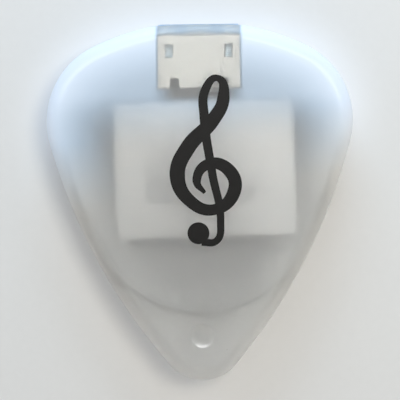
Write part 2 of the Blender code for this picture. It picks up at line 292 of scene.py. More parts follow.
paper_mesh = bpy.data.meshes.new("paper")
patch = [PATCH_SIZE * (k / PATCH_CELLS - 0.5) for k in range(PATCH_CELLS + 1)]
marks = [-PAPER_SIZE / 2, *patch, PAPER_SIZE / 2]
count = len(marks)
corners = [(x, y, -PAPER_DROP) for y in marks for x in marks]
cells = [k + row * count for row in range(count - 1) for k in range(count - 1)]
paper_mesh.from_pydata(corners, [], [(k, k + 1, k + 1 + count, k + count) for k in cells])
paper_mesh.materials.append(material("paper", paper))
paper_sheet = add("paper", paper_mesh)

# %% Lamp, window and sky
LIGHTS = {
    "lamp": {
        "place": (0.050, 0.034, 0.20),
        "size": (0.06, 0.06),
        "power": 0.145,
        "tint": (1.0, 0.935, 0.80),
        "hidden_from": ("glossy", "transmission"),
    },
    "window": {
        "place": (0.006, 0.086, 0.165),
        "size": (0.36, 0.035),
        "power": 0.35,
        "tint": (1.0, 0.99, 0.97),
        "hidden_from": ("diffuse",),
    },
    "sky": {
        "place": (-0.010, 0.18, 0.09),
        "size": (0.12, 0.12),
        "power": 0.22,
        "tint": (0.53, 0.75, 0.97),
        "hidden_from": (),
    },
}

for name, light in LIGHTS.items():
    light_data = bpy.data.lights.new(name, "AREA")
    light_data.shape = "RECTANGLE"
    light_data.size, light_data.size_y = light["size"]
    light_data.energy = light["power"]
    light_data.color = light["tint"]
    light_object = add(name, light_data)
    light_object.location = light["place"]
    light_object.rotation_euler = (-Vector(light["place"])).to_track_quat("-Z", "Y").to_euler()
    for kind in light["hidden_from"]:
        setattr(light_object, "visible_" + kind, False)
    print(name, light["power"], "W")

# %% A dim room round them
ROOM_STRENGTH = 0.72
ROOM_BEHIND = colour(0.95, 0.925, 0.89)
ROOM_AHEAD = colour(0.91, 0.943, 0.985)

world = bpy.data.worlds.new("room")
world.use_nodes = True
world.node_tree.nodes.clear()
start = Wire(world.node_tree)
direction = start.node("ShaderNodeTexCoord", output="Generated")
towards_window = step(axis(direction, "Y"), low=-0.7, high=0.9)
room = mix(towards_window, ROOM_BEHIND, ROOM_AHEAD)
glow = start.node("ShaderNodeBackground", inputs={"Color": room, "Strength": ROOM_STRENGTH})
start.node("ShaderNodeOutputWorld", inputs={"Surface": glow})
bpy.context.scene.world = world
print("room lit at", ROOM_STRENGTH)

# %% [markdown]
# ## The outline of a pick
#
# A pick's outline is four arcs on each side that run smoothly into each other: tip, side, shoulder and
# crest. Spline points could be dragged to fit, but arcs keep an exact offset: growing every radius by the
# same length gives the wall inside or outside it. The side arc touches the tip and shoulder circles from
# outside, so its centre is where two circles cross.

# %% Solve the arcs
TIP_RADIUS = 0.0060
SIDE_RADIUS = 0.0800
SHOULDER_RADIUS = 0.0115
TOP_RADIUS = 0.0340
POCKET_RIM = 0.00285
POCKET_TIP_DEPTH = 0.0100
POCKET_TIP_RADIUS = 0.0145
ARC_STEPS = (22, 22, 30, 14)


def heading(vector):
    """The direction of a flat vector, as an angle."""
    return math.atan2(vector.y, vector.x)


def pick_arcs(width, top, foot, tip_radius, side_radius, shoulder_radius, top_radius):
    """The right half of a pick outline, tip first, as (centre, radius, start, end) of each arc."""
    tip = Vector((0.0, foot + tip_radius))
    crest = Vector((0.0, top - top_radius))
    shoulder_x = width / 2 - shoulder_radius
    shoulder_rise = math.sqrt((top_radius - shoulder_radius) ** 2 - shoulder_x**2)
    shoulder = crest + Vector((shoulder_x, shoulder_rise))
    span = shoulder - tip
    tip_reach = side_radius - tip_radius
    shoulder_reach = side_radius - shoulder_radius
    along = (tip_reach**2 - shoulder_reach**2 + span.length_squared) / (2 * span.length)
    across = math.sqrt(tip_reach**2 - along**2)
    ahead = span.normalized()
    side = tip + along * ahead + across * Vector((-ahead.y, ahead.x))
    joins = [heading(tip - side), heading(shoulder - side), heading(shoulder - crest)]
    turns = [-math.pi / 2, *joins, math.pi / 2]
    circles = [(tip, tip_radius), (side, side_radius), (shoulder, shoulder_radius), (crest, top_radius)]
    return [(*circle, *ends) for circle, ends in zip(circles, zip(turns, turns[1:]))]


def outline(arcs, grow=0.0):
    """Points round a pick outline from its tip, moved outwards by grow."""
    right = []
    for (centre, radius, first, last), steps in zip(arcs, ARC_STEPS):
        for k in range(steps):
            angle = first + (last - first) * k / steps
            right.append(centre + (radius + grow) * Vector((math.cos(angle), math.sin(angle))))
    centre, radius, _, _ = arcs[-1]
    crest = centre + Vector((0.0, radius + grow))
    return right + [crest] + [Vector((-point.x, point.y)) for point in reversed(right[1:])]


case = pick_arcs(case_width, case_top, case_tip, TIP_RADIUS, SIDE_RADIUS, SHOULDER_RADIUS, TOP_RADIUS)
pocket = pick_arcs(
    case_width - 2 * POCKET_RIM,
    case_top - POCKET_RIM,
    case_tip + POCKET_TIP_DEPTH,
    POCKET_TIP_RADIUS,
    SIDE_RADIUS - POCKET_RIM,
    SHOULDER_RADIUS - POCKET_RIM,
    TOP_RADIUS - POCKET_RIM,
)
print("points round the case:", len(outline(case)))

# %% [markdown]
# ## Lofts and cuts
#
# A moulded shell is a stack of outlines: across a flat land they move in or out, up a wall they only
# rise, and round an edge they do both. Lofting through such rings gives every edge its own radius.
# What isn't a ring, such as the hinge slot, is then cut with an exact Boolean.

# %% Build a shape from rings
BEND_STEPS = 6
SMOOTH_ANGLE = math.radians(32)


def at_height(points, z):
    """A flat outline as a ring at one height."""
    return [Vector((point.x, point.y, z)) for point in points]


def bend(arcs, grow, z, radius, first, last, steps=BEND_STEPS):
    """Rings round an edge: the section turns between two angles, in degrees, about (grow, z)."""
    rings = []
    for k in range(steps + 1):
        angle = math.radians(first + (last - first) * k / steps)
        points = outline(arcs, grow + radius * math.cos(angle))
        rings.append(at_height(points, z + radius * math.sin(angle)))
    return rings


def loft(shape, rings):
    """Adds a closed body through rings of equal count. A ring of one point closes an end as a pole."""
    loops = [[shape.verts.new(point) for point in ring] for ring in rings]
    for lower, upper in zip(loops, loops[1:]):
        for k in range(len(lower)):
            if len(upper) == 1:
                shape.faces.new((lower[k - 1], lower[k], upper[0]))
            else:
                shape.faces.new((lower[k - 1], lower[k], upper[k], upper[k - 1]))
    for loop in (loops[0], loops[-1]):
        if len(loop) > 2:
            shape.faces.new(loop)


def piece_of(name, shape):
    """Turns an edited shape into a piece in the scene."""
    mesh = bpy.data.meshes.new(name)
    shape.to_mesh(mesh)
    shape.free()
    return add(name, mesh)


def solid(name, *lofts):
    """A piece of one or more lofted bodies, faces outwards."""
    shape = bmesh.new()
    for rings in lofts:
        loft(shape, rings)
    bmesh.ops.recalc_face_normals(shape, faces=shape.faces)
    return piece_of(name, shape)


def bake(piece):
    """Turns a piece and its modifiers into a plain mesh."""
    depsgraph = bpy.context.evaluated_depsgraph_get()
    mesh = bpy.data.meshes.new_from_object(piece.evaluated_get(depsgraph))
    piece.modifiers.clear()
    piece.data = mesh


def combine(piece, operation, *lofts):
    """Cuts shapes out of a piece, or joins them to it."""
    tool = solid("tool", *lofts)
    modifier = piece.modifiers.new("tool", "BOOLEAN")
    modifier.operation = operation
    modifier.solver = "EXACT"
    modifier.object = tool
    bake(piece)
    bpy.data.objects.remove(tool)


def shade(piece):
    """Smooth shading that stays crisp at edges."""
    piece.data.shade_smooth()
    piece.data.set_sharp_from_angle(angle=SMOOTH_ANGLE)


# %% Small shapes for cuts
REACH = 0.0004
ROUND_STEPS = 48
FLAT_CLEARANCE = 0.00005
LEAF_WALL_FROM_TOP = 0.0022
CLIP_ARM = 0.0012

flat_y = hinge.y - FLAT_CLEARANCE
wall_outer = case_top - LEAF_WALL_FROM_TOP
slot_half = CLIP_ARM + HINGE_CLEARANCE


def circle(y, z, radius):
    """A level ring on the middle line of the case."""
    turns = [2 * math.pi * k / ROUND_STEPS for k in range(ROUND_STEPS)]
    return [Vector((radius * math.cos(a), y + radius * math.sin(a), z)) for a in turns]


def block(x, y, z):
    """The two rings of a box, from its (low, high) on each axis."""
    ring = [(x[0], y[0]), (x[1], y[0]), (x[1], y[1]), (x[0], y[1])]
    return [[Vector((*corner, level)) for corner in ring] for level in z]


def pair(spacing, width, y, z):
    """Two boxes, one each side of the middle."""
    return [block((x - width / 2, x + width / 2), y, z) for x in (-spacing / 2, spacing / 2)]


def cut_hinge_end(shell, low, high, seat, slot_end):
    """Cuts a shell's broad end flat, and cuts the channel for its leaf and the slot for the clips."""
    beyond = case_top + REACH
    half_width = case_width / 2
    inside = low if seat > hinge.z else high
    channel_x = (-channel_half, channel_half)
    channel_y = (leaf_foot, wall_outer + HINGE_CLEARANCE)
    combine(shell, "DIFFERENCE", block((-half_width, half_width), (flat_y, beyond), (low, high)))
    combine(shell, "DIFFERENCE", block(channel_x, channel_y, sorted((seat, inside))))
    combine(shell, "DIFFERENCE", block(channel_x, (wall_outer, beyond), sorted((slot_end, inside))))


print(f"hinge end cut flat at {flat_y * 1000:.2f} mm, clip slot {slot_half * 2000:.2f} mm tall")

# %% Stubs that hold the leaves
LEAF_THICKNESS = 0.0009
WINDOW_WIDTH = 0.0011
WINDOW_LENGTH = 0.0019
WINDOW_SPACING = 0.0082
WINDOW_FROM_TOP = 0.00425
FOOT_NOTCH_WIDTH = 0.0012
FOOT_NOTCH_LENGTH = 0.0013
FOOT_NOTCH_SPACING = 0.0068


def leaf_stubs(seat, inward):
    """Moulded stubs on a shell that fill its leaf's windows and foot notches, from the seat inwards."""
    z = sorted((seat - inward * REACH, seat + inward * (SEAT_GAP + LEAF_THICKNESS)))
    window_y = case_top - WINDOW_FROM_TOP
    window_half = WINDOW_LENGTH / 2 - HINGE_CLEARANCE
    foot_y = (leaf_foot, leaf_foot + FOOT_NOTCH_LENGTH - HINGE_CLEARANCE)
    windows = pair(
        WINDOW_SPACING,
        WINDOW_WIDTH - 2 * HINGE_CLEARANCE,
        (window_y - window_half, window_y + window_half),
        z,
    )
    return windows + pair(FOOT_NOTCH_SPACING, FOOT_NOTCH_WIDTH - 2 * HINGE_CLEARANCE, foot_y, z)


print("stubs on each shell:", len(leaf_stubs(ceiling, -1)))

# %% [markdown]
# ## Milky plastic
#
# The shells are clear plastic with a little white in it: what touches them shows sharp, what lies deeper
# turns hazy, and where the wall is thick the white adds up. A true scattering volume would be slow and
# noisy. So a clear finish and a white one are blended. A thin layer of milk scatters blue light most and a
# thick one all of it, so the white starts blue and turns pale. There is more of it towards the rim, where
# the wall is thick. The extra white at the broad end, the shoulders and the outermost edge is a painted
# glow of the window's light, and the tint that turns warm towards the tip is painted light that has
# passed through the plastic. There is none over the hinge leaf, which touches the face, and little over
# the pin and over the gap at the leaf's foot, where the dark gap shows as a painted shade below the leaf.
# A shader can't tell how far a point is from the rim, so the shells carry that as an attribute. The mould
# is satin outside and blasted or coarse inside. The steep walls of the pocket are hazy grey, a painted
# shade that draws their soft dim line, the ends of the stubs are pale, and thumbs keep the dimple
# polished.

# %% Wire up the milky plastic
MILK_INDEX = 1.49
WALL_INDEX = 1.12
MILK_CLEAR = 0.94
SATIN_ROUGHNESS = 0.26
WHITE_ROUGHNESS = 0.36
BLASTED_ROUGHNESS = 0.34
COARSE_ROUGHNESS = 0.75
WALL_ROUGHNESS = 0.9
HANDLING = 0.06
MILK_TINTS = (colour(0.970, 0.966, 0.952), colour(0.984, 0.980, 0.967))
THIN_MILK = colour(0.48, 0.71, 0.94)
THICK_MILK = colour(0.79, 0.865, 0.985)
WARM_PAINTED_TINT = colour(0.83, 0.82, 0.785)
WALL_SHADE_SHARE = 0.5
DIMPLE_POLISH = 0.55
POLISH_ROUGHNESS = 0.05


def slanted(place, lean):
    """Distance along the case with a share of that across it, so that a band runs at a slant."""
    return axis(place, "Y") + lean * axis(place, "X")


def clear_plastic(start, place, roughness, index=MILK_INDEX, polish=0.0):
    """Clear plastic with faint clouds, traces of handling and the fine skin of a moulding."""
    clouds = noise(place, scale=140.0, detail=3.0)
    handled = noise(place, scale=420.0, detail=4.0)
    peel = noise(place, scale=1600.0, detail=2.0)
    look = {
        "Base Color": mix(step(clouds, low=0.3, high=0.7), *MILK_TINTS),
        "Roughness": roughness + HANDLING * handled,
        "IOR": index,
        "Transmission Weight": MILK_CLEAR,
        "Coat Weight": polish,
        "Coat Roughness": POLISH_ROUGHNESS,
        "Normal": bump(peel, strength=0.05, distance=0.00005),
    }
    return principled(start, look)


def white_in_plastic(start, place, amount):
    """The white in the plastic: blue where it is thin, pale where it is thick, and warm towards the tip as
    a painted tint of light that has passed through the plastic.
    """
    clouds = noise(place, scale=260.0, detail=3.0)
    # Painted light: the white is bluer towards the upper left, where the window and sky are, and warm
    # towards the tip.
    nearer_window = slope(slanted(place, lean=-0.14), low=0.001, high=0.0105)
    look = {
        "Base Color": mix(nearer_window, WARM_PAINTED_TINT, mix(amount, THIN_MILK, THICK_MILK)),
        "Roughness": WHITE_ROUGHNESS + HANDLING * clouds,
    }
    return principled(start, look)


# %% Say where the milk shows
MILK_ALONG_SIDE = 0.28
MILK_AND_GLOW_AT_SHOULDER = 0.63
MILK_AND_GLOW_AT_CREST = 0.44
MILK_AT_TIP = 0.05
MILK_AND_GLOW_AT_EDGE = 0.30
MILK_OVER_PIN = 0.30
RIM_POWER = 1.2
LEAF_SIDE_EDGE = (-0.0004, 0.0003)
LEAF_FOOT_EDGE = (-0.0006, 0.0)
GAP_SIDE_EDGE = (-0.0026, 0.0012)
GAP_FOOT_EDGE = (-0.0027, -0.0011)
GAP_TOP_EDGE = (-0.0002, 0.0004)
PIN_EDGE = (-0.0002, 0.0006)
PARTING_EDGE = (-0.0006, 0.0002)


def past(value, place, edge):
    """0 before a place and 1 past it, with a soft edge between two distances from it."""
    return step(value, low=place + edge[0], high=place + edge[1])


def hinge_window(x, y, z):
    """Where the front shows the hinge: clear over the leaf, clear over the gap at its foot as a painted
    shade below the leaf, hazy over the pin.
    """
    aside = abs(x)
    over_leaf = (1 - past(aside, channel_half, LEAF_SIDE_EDGE)) * past(y, leaf_foot, LEAF_FOOT_EDGE)
    # Painted shade: the white is left out over the gap below the leaf, so that the gap shows dark.
    along_gap = past(y, leaf_foot, GAP_FOOT_EDGE) * (1 - past(y, leaf_foot, GAP_TOP_EDGE))
    shade_below_leaf = (1 - past(aside, channel_half, GAP_SIDE_EDGE)) * along_gap
    over_pin = MILK_OVER_PIN * past(y, wall_outer, PIN_EDGE)
    in_front = past(z, hinge.z, PARTING_EDGE)
    return (1 - (1 - over_leaf) * (1 - shade_below_leaf)) * in_front * (1 - over_pin)


def milk_and_window_glow(start, place):
    """How much white shows: milk round the rim and a painted glow of the window round the broad end, some
    in the solid tip and little at the hinge.
    """
    rim = near_rim(start)
    x, y, z = [axis(place, name) for name in "XYZ"]
    # The extra white at the broad end, the shoulders and the outer edge is a painted glow of the window's
    # light.
    along_side = MILK_ALONG_SIDE * slope(slanted(place, lean=0.4), low=-0.022, high=-0.006)
    at_shoulder = MILK_AND_GLOW_AT_SHOULDER * slope(slanted(place, lean=-0.03), low=-0.001, high=0.0095)
    at_rim = rim**RIM_POWER * (along_side + at_shoulder)
    at_edge = MILK_AND_GLOW_AT_EDGE * slope(rim, low=0.82, high=1.0)
    at_crest = MILK_AND_GLOW_AT_CREST * slope(y, low=0.006, high=0.0145) ** 2
    at_tip = MILK_AT_TIP * slope(y, low=-0.0135, high=-0.0165)
    clear = (1 - at_rim) * (1 - at_edge) * (1 - at_crest) * (1 - at_tip)
    return (1 - clear) * (1 - hinge_window(x, y, z))


# %% Finishes of the shells
def milky(polish):
    """A maker of the outside of a shell: clear plastic and white, blended by how much white shows."""

    def surface(start):
        place = object_place(start)
        amount = milk_and_window_glow(start, place)
        clear = clear_plastic(start, place, SATIN_ROUGHNESS, polish=polish)
        white = white_in_plastic(start, place, amount)
        return start.node("ShaderNodeMixShader", inputs={0: amount, 1: clear, 2: white})

    return surface


def moulded(roughness):
    """A maker of the inside of a shell: clear plastic, as rough as that side of its mould."""

    def surface(start):
        return clear_plastic(start, object_place(start), roughness)

    return surface


def pocket_wall(start):
    """A steep wall of the pocket: clear plastic with a grey haze over it, a painted shade that draws the
    wall's soft dim line.
    """
    place = object_place(start)
    clouds = noise(place, scale=260.0, detail=3.0)
    # Painted shade: the grey draws the soft, dim line of the pocket's wall.
    tone = mix(clouds, colour(0.51, 0.51, 0.495), colour(0.57, 0.57, 0.555))
    clear = clear_plastic(start, place, WALL_ROUGHNESS, WALL_INDEX)
    grey = principled(start, {"Base Color": tone, "Roughness": 0.8})
    return start.node("ShaderNodeMixShader", inputs={0: WALL_SHADE_SHARE, 1: clear, 2: grey})


def stub_end(start):
    """The pale stubs that show in the windows of a leaf."""
    clouds = noise(object_place(start), scale=260.0, detail=3.0)
    tone = mix(clouds, colour(0.80, 0.91, 0.95), colour(0.86, 0.96, 0.99))
    return principled(start, {"Base Color": tone, "Roughness": 0.4 + 0.1 * clouds})


SKIN, BLASTED, COARSE, WALL, STUB, POLISHED = range(6)
shell_finishes = [
    material("milky_skin", milky(polish=0.0)),
    material("blasted_milk", moulded(BLASTED_ROUGHNESS)),
    material("coarse_milk", moulded(COARSE_ROUGHNESS)),
    material("pocket_wall", pocket_wall),
    material("stub_end", stub_end),
    material("polished_milk", milky(DIMPLE_POLISH)),
]

# %% Share the finishes over a shell
PLATE_DEPTH = 0.0006
STUB_REACH = 0.003
RIM_WIDTH = 0.008
STEEP = 0.78

case_outline = outline(case)
rim_points = KDTree(len(case_outline))
for k, point in enumerate(case_outline):
    rim_points.insert((*point, 0.0), k)
rim_points.balance()


def mark_rim(piece):
    """Stores on each point how near the rim of the case it is, from 1 on the outline to 0 well away."""
    rim = piece.data.attributes.new("rim", "FLOAT", "POINT")
    for k, vertex in enumerate(piece.data.vertices):
        distance = rim_points.find((vertex.co.x, vertex.co.y, 0.0))[2]
        rim.data[k].value = max(0.0, 1 - distance / RIM_WIDTH)


def finish_of(face, seat):
    """The finish of a face of a shell, from where it lies and which way it looks."""
    parting = abs(hinge.z - seat)
    # How far the face lies from the seat of the leaf, counted towards the parting plane.
    depth = (face.center.z - seat) * (hinge.z - seat) / parting
    looks_out = face.normal.dot(face.center - Vector((0.0, 0.0, hinge.z))) > 0
    by_leaf = abs(face.center.x) < channel_half and wall_outer > face.center.y > leaf_foot + STUB_REACH
    if depth < -SEAT_GAP or (looks_out and depth < parting):
        return SKIN
    steep = abs(face.normal.z) < STEEP
    if by_leaf and (steep or depth > PLATE_DEPTH):
        return STUB
    if steep:
        return WALL
    return BLASTED if depth < PLATE_DEPTH else COARSE


def dress_shell(shell, seat):
    """Marks the rim of a shell and gives each face its finish."""
    mark_rim(shell)
    shell.data.materials.clear()
    for finish in shell_finishes:
        shell.data.materials.append(finish)
    for face in shell.data.polygons:
        face.material_index = finish_of(face, seat)
    shade(shell)
    print(shell.name, "has", len(shell.data.polygons), "faces")


mark_rim(paper_sheet)
print("rim marked on", len(paper_sheet.data.vertices), "points of the paper")

# %% [markdown]
# ## The front shell
#
# The lid is a crowned cover with a rounded edge. Its rings run from the ceiling of the pocket down
# the inner wall, across the land, up the outside and over the crown to a pole. The thumb dimple near the
# tip is a shallow piece of a ball, cut out of the face: its rim is what draws the smile of light there.

# %% Rings of the front shell
FRONT_HEIGHT = 0.0044
FRONT_EDGE_RADIUS = 0.0023
FRONT_CROWN = 0.0002
CROWN_PEAK_Y = 0.0030
LIP_WALL = 0.0007
LIP_CLEARANCE = 0.00015
CEILING_FILLET = 0.0016
LAND_ROUND = 0.00012
EDGE_STEPS = 14
CROWN_RINGS = 16

face_edge = front_land + FRONT_HEIGHT
face_outline = outline(case, -FRONT_EDGE_RADIUS)
crown_peak = Vector((0.0, CROWN_PEAK_Y))


def crown_height(share):
    """Height of the crowned face at a share of the way from its peak to its edge."""
    return face_edge + FRONT_CROWN * (1 - share**2)


def crown_ring(k):
    """One of the rings over the crown, counted from its edge to its peak."""
    share = 1 - k / CROWN_RINGS
    if k == CROWN_RINGS:
        return [Vector((*crown_peak, crown_height(0.0)))]
    return at_height([crown_peak.lerp(point, share) for point in face_outline], crown_height(share))


well = LIP_WALL + LIP_CLEARANCE
fillet_centre = ceiling - CEILING_FILLET
front_rings = bend(pocket, well - CEILING_FILLET, fillet_centre, CEILING_FILLET, 90, 0, EDGE_STEPS)
front_rings += bend(pocket, well + LAND_ROUND, front_land + LAND_ROUND, LAND_ROUND, 180, 270, steps=2)
front_rings += bend(case, -LAND_ROUND, front_land + LAND_ROUND, LAND_ROUND, -90, 0, steps=3)
edge_centre = face_edge - FRONT_EDGE_RADIUS
front_rings += bend(case, -FRONT_EDGE_RADIUS, edge_centre, FRONT_EDGE_RADIUS, 0, 90, EDGE_STEPS)
front_rings += [crown_ring(k) for k in range(1, CROWN_RINGS + 1)]
front_case = solid("front_case", front_rings)
print("front shell lofted through", len(front_rings), "rings")

# %% Cut the dimple, the hinge end and the socket
PEG_FROM_TIP = 0.0063
PEG_RADIUS = 0.0012
PEG_CLEARANCE = 0.00012
DIMPLE_RADIUS = 0.00165
DIMPLE_DEPTH = 0.00035
DIMPLE_STEPS = 16

peg_y = case_tip + PEG_FROM_TIP
dimple_share = (CROWN_PEAK_Y - peg_y) / (CROWN_PEAK_Y - face_outline[0].y)
dimple_rim = crown_height(dimple_share)
ball_radius = (DIMPLE_RADIUS**2 + DIMPLE_DEPTH**2) / (2 * DIMPLE_DEPTH)
dimple = []
for k in range(1, DIMPLE_STEPS + 1):
    turn = math.asin(DIMPLE_RADIUS / ball_radius) * k / DIMPLE_STEPS
    level = dimple_rim - DIMPLE_DEPTH + ball_radius * (1 - math.cos(turn))
    dimple.append(circle(peg_y, level, ball_radius * math.sin(turn)))
dimple.append(circle(peg_y, dimple_rim + REACH, DIMPLE_RADIUS + REACH))
combine(front_case, "DIFFERENCE", dimple)

above = face_edge + FRONT_CROWN + REACH
below_land = front_land - REACH
cut_hinge_end(front_case, below_land, above, ceiling, hinge.z + slot_half)
socket_ends = (below_land, peg_top + PEG_CLEARANCE)
combine(front_case, "DIFFERENCE", [circle(peg_y, z, PEG_RADIUS + PEG_CLEARANCE) for z in socket_ends])
combine(front_case, "UNION", *leaf_stubs(ceiling, -1))
dress_shell(front_case, ceiling)
points = front_case.data.vertices
dimple_middle = Vector((0.0, peg_y, dimple_rim))
for face in front_case.data.polygons:
    if max((points[k].co - dimple_middle).length for k in face.vertices) < DIMPLE_RADIUS + SEAT_GAP:
        face.material_index = POLISHED
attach(front_case, "lid")
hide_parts("front_shell")

# %% [markdown]
# ## The rear shell
#
# The base is a tray with a flat back for the pad. A lip round the pocket stands up inside the lid, and
# a peg at the tip snaps into it. Its rings run the other way, from the back round the edge, over the
# land and the lip and down to the floor of the pocket.

# %% Rings of the rear shell
REAR_EDGE_RADIUS = 0.0018
FLOOR_FILLET = 0.0003
LIP_HEIGHT = 0.0007
LIP_CHAMFER = 0.0002
PEG_CHAMFER = 0.0003
PEG_STEPS = 4

lip_top = rear_land + LIP_HEIGHT
edge_centre = rear_back + REAR_EDGE_RADIUS
rear_rings = bend(case, -REAR_EDGE_RADIUS, edge_centre, REAR_EDGE_RADIUS, -90, 0, EDGE_STEPS)
rear_rings += bend(case, -LAND_ROUND, rear_land - LAND_ROUND, LAND_ROUND, 0, 90, steps=3)
rear_rings.append(at_height(outline(pocket, LIP_WALL), rear_land))
rear_rings += bend(pocket, LIP_WALL - LIP_CHAMFER, lip_top - LIP_CHAMFER, LIP_CHAMFER, 0, 90, steps=4)
rear_rings += bend(pocket, LAND_ROUND, lip_top - LAND_ROUND, LAND_ROUND, 90, 180, steps=3)
rear_rings += bend(pocket, -FLOOR_FILLET, floor_level + FLOOR_FILLET, FLOOR_FILLET, 0, -90)
rear_case = solid("rear_case", rear_rings)
cut_hinge_end(rear_case, rear_back - REACH, lip_top + REACH, floor_level, hinge.z - slot_half)
peg = [circle(peg_y, rear_land - REACH, PEG_RADIUS)]
for k in range(PEG_STEPS + 1):
    turn = math.pi / 2 * k / PEG_STEPS
    peg_ring_z = peg_top - PEG_CHAMFER * (1 - math.sin(turn))
    peg.append(circle(peg_y, peg_ring_z, PEG_RADIUS - PEG_CHAMFER * (1 - math.cos(turn))))
combine(rear_case, "UNION", peg)
combine(rear_case, "UNION", *leaf_stubs(floor_level, 1))
dress_shell(rear_case, floor_level)
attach(rear_case, "base")
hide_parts("rear_shell")

# %% [markdown]
# ## Hinge leaves and pin
#
# The leaves are small white mouldings, and the solids already have their windows, notches and clips.
# What they lack is the tiny radius on every edge, which catches the light. So each leaf is a copy of its
# solid: its triangles are merged and flat ones joined again, and a Bevel modifier rounds what is left.
# Weighted normals then keep the wide faces flat in the light, although the rounded edges shade smoothly.

# %% Finishes of the hinge
LEAF_ROUND = 0.00008
PIN_ROUND = 0.00002
DRAWN_ALONG = (0.03, 1.0, 1.0)


def white_plastic(start):
    """White plastic with the marks of its flow and a fine grain."""
    place = object_place(start)
    flow = noise(place, scale=260.0, detail=4.0)
    grain = noise(place, scale=9000.0, detail=2.0)
    look = {
        "Base Color": mix(flow, colour(0.66, 0.648, 0.60), colour(0.72, 0.708, 0.66)),
        "Roughness": 0.36 + 0.14 * flow,
        "Normal": bump(grain, strength=0.12, distance=0.00002),
    }
    return principled(start, look)


def drawn_steel(start):
    """Bright wire with fine lines along it, tinted blue as a painted reflection of the sky."""
    place = object_place(start)
    along = start.node("ShaderNodeMapping", inputs={"Vector": place, "Scale": DRAWN_ALONG})
    lines = noise(along, scale=30000.0, detail=3.0)
    look = {
        # The blue in the steel's colour is a painted reflection of the blue sky.
        "Base Color": mix(lines, colour(0.40, 0.53, 0.74), colour(0.54, 0.68, 0.90)),
        "Metallic": 1.0,
        "Roughness": 0.22 + 0.16 * lines,
        "Normal": bump(lines, strength=0.1, distance=0.00001),
    }
    return principled(start, look)


leaf_finish = material("white_plastic", white_plastic)
pin_finish = material("drawn_steel", drawn_steel)


# %% Round the edges of the solids
MERGE = 0.000001
FLAT_ANGLE = math.radians(1.0)
BEVEL_ANGLE = math.radians(40)
BEVEL_SEGMENTS = 3


def softened(name, node, body, finish, width):
    """A copy of a solid with small rounded edges, in its place on its body."""
    shape = bmesh.new()
    shape.from_mesh(frame["nodes"][node].data)
    bmesh.ops.remove_doubles(shape, verts=shape.verts, dist=MERGE)
    bmesh.ops.dissolve_limit(shape, angle_limit=FLAT_ANGLE, verts=shape.verts, edges=shape.edges)
    piece = piece_of(name, shape)
    piece.data.materials.append(finish)
    bevel = piece.modifiers.new("rounded", "BEVEL")
    bevel.width = width
    bevel.segments = BEVEL_SEGMENTS
    bevel.limit_method = "ANGLE"
    bevel.angle_limit = BEVEL_ANGLE
    bake(piece)
    shade(piece)
    piece.modifiers.new("flat_faces", "WEIGHTED_NORMAL").keep_sharp = True
    bake(piece)
    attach(piece, body)
    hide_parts(node)
    print(name, len(piece.data.polygons), "faces")


softened("front_leaf", "front_hinge_leaf", "lid", leaf_finish, LEAF_ROUND)
softened("rear_leaf", "rear_hinge_leaf", "base", leaf_finish, LEAF_ROUND)
softened("pin", "hinge_pin", "base", pin_finish, PIN_ROUND)

# %% [markdown]
# ## Foam insert, stick-on pad and liner
#
# The white rectangle is a foam insert on the floor of the pocket, put in by hand and a little turned.
# Behind it, on the back of the case, sits a smaller pad of grey foam tape under a paper liner, and its
# shade shows faintly through the white foam, most where the window lights it least. Cut foam pulls in
# between its faces: its sides are hollow and its edges stay wide. A cloth simulation would swell it like a
# cushion, so both cuts are lofted through rings that narrow in the middle.

# %% Shapes of the foam
# Lengths are in metres and turns in degrees.
FOAM = {"size": (0.0254, 0.01905), "centre": (0.00065, 0.00443), "turn": 1.0, "corner": 0.0008}
PAD = {"size": (0.0178, 0.0127), "centre": (0.0008, 0.0058), "turn": 0.6, "corner": 0.0006}
FOAM_HOLLOW = 0.00022
HOLLOW_POWER = 0.7
LINER_OVERHANG = 0.0004
CORNER_STEPS = 10
FOAM_RINGS = 12


def sheet_ring(cut, overhang, z):
    """A round-cornered rectangle where a cut of foam sits, turned with it."""
    place = Matrix.Translation((*cut["centre"], z)) @ Matrix.Rotation(math.radians(cut["turn"]), 4, "Z")
    radius = cut["corner"] + max(overhang, 0.0)
    half = [size / 2 + overhang - radius for size in cut["size"]]
    ring = []
    for quarter, (x, y) in enumerate(((1, 1), (-1, 1), (-1, -1), (1, -1))):
        for k in range(CORNER_STEPS + 1):
            turn = math.pi / 2 * (quarter + k / CORNER_STEPS)
            corner = Vector((x * half[0], y * half[1], 0.0))
            ring.append(place @ (corner + radius * Vector((math.cos(turn), math.sin(turn), 0.0))))
    return ring


def cut_foam(name, node, cut):
    """A cut of foam in the place of its solid, hollow at the sides."""
    low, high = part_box(node)
    rings = []
    for k in range(FOAM_RINGS + 1):
        rise = k / FOAM_RINGS
        hollow = FOAM_HOLLOW * math.sin(math.pi * rise) ** HOLLOW_POWER
        rings.append(sheet_ring(cut, -hollow, low.z + rise * (high.z - low.z)))
    print(name, f"{(high.z - low.z) * 1000:.1f} mm thick")
    return solid(name, rings)


insert = cut_foam("insert", "pocket_foam", FOAM)
pad = cut_foam("pad", "foam_pad", PAD)
liner_low, liner_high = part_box("release_liner")
liner = solid("liner", [sheet_ring(PAD, LINER_OVERHANG, z) for z in (liner_low.z, liner_high.z)])

# %% Finishes of the foam and the liner
SHADE_EDGE = 0.0006
PAD_SHADE = 0.36
SHADE_GREY = colour(0.2, 0.2, 0.2)
SHADE_PATCHES = 0.3


